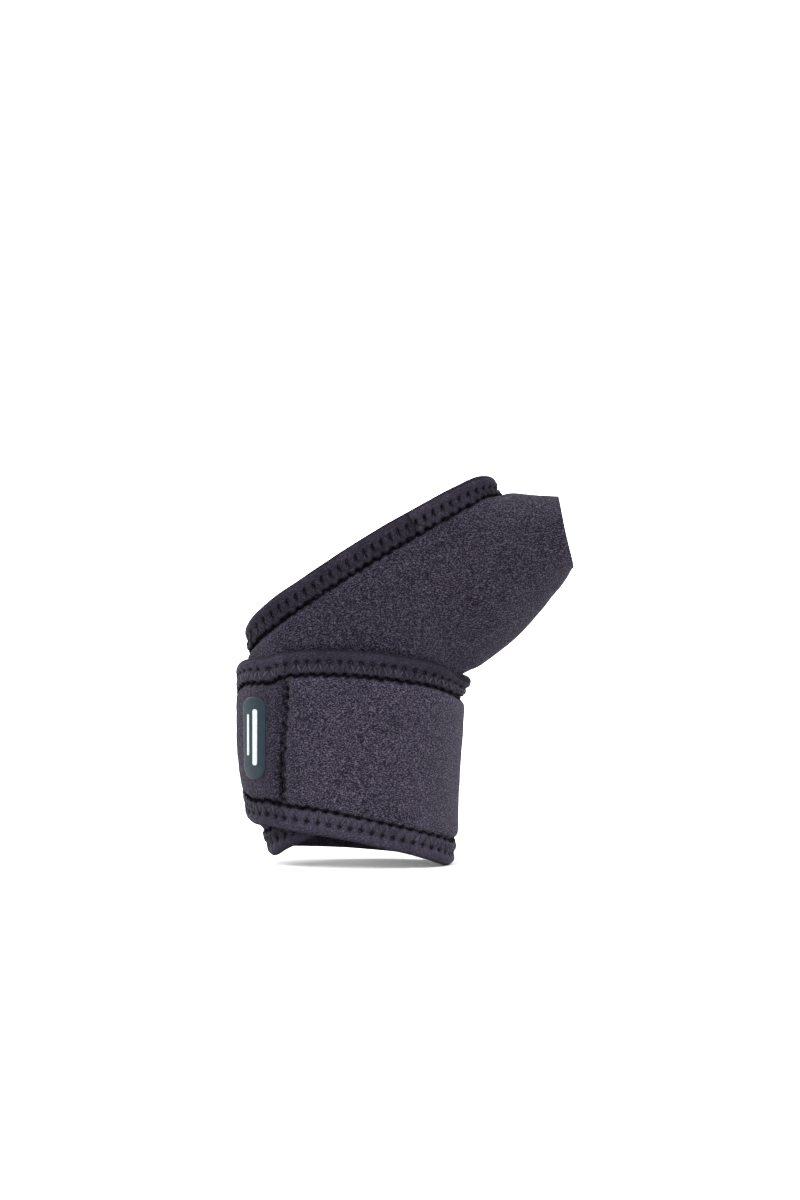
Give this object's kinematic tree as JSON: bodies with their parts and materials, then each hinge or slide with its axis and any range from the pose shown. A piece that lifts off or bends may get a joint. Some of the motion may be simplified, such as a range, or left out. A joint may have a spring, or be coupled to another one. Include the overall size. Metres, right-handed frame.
{
  "type": "wrist support brace",
  "caption": "Padded wrap-around wrist support with a thumb opening, bound edges and a hinged closing strap that ends in a hook tab with a blank badge.",
  "frame": {"origin": "bottom centre of the bounding box, with the brace as worn on an upright left forearm and hand", "axes": "+Z towards the fingers, -Y out of the back of the hand, +X towards the thumb"},
  "size_m": [0.105, 0.0518, 0.121],
  "materials": {
    "loop_cloth": "brushed loop pile",
    "foam": "matt closed-cell foam",
    "jersey": "smooth knit",
    "edge_tape": "matt folded tape",
    "hook_tape": "moulded hooks",
    "silicone": "satin"
  },
  "bodies": {
    "wrist_wrap": {"wrap_loop_cloth": "loop_cloth", "wrap_foam": "foam", "wrap_lining": "jersey", "upper_edge_tape": "edge_tape", "lower_edge_tape": "edge_tape"},
    "closing_strap": {"strap_loop_cloth": "loop_cloth", "strap_foam": "foam", "strap_lining": "jersey", "strap_top_tape": "edge_tape", "strap_bottom_tape": "edge_tape"},
    "hook_tab": {"tab_loop_cloth": "loop_cloth", "tab_foam": "foam", "tab_lining": "jersey", "tab_edge_tape": "edge_tape", "hook_patch": "hook_tape", "badge": "silicone"}
  },
  "joints": [
    {"name": "strap_unwrap", "type": "hinge", "parent": "wrist_wrap", "child": "closing_strap", "pos_m": [0.00814, -0.01903, 0.03], "axis": [0, 0, 1], "range_deg": [0, 150], "stiffness_Nm_per_rad": 0.002},
    {"name": "tab_peel", "type": "hinge", "parent": "closing_strap", "child": "hook_tab", "pos_m": [-0.03816, -0.02152, 0.038], "axis": [0, 0, 1], "range_deg": [0, 100], "stiffness_Nm_per_rad": 0.001}
  ]
}
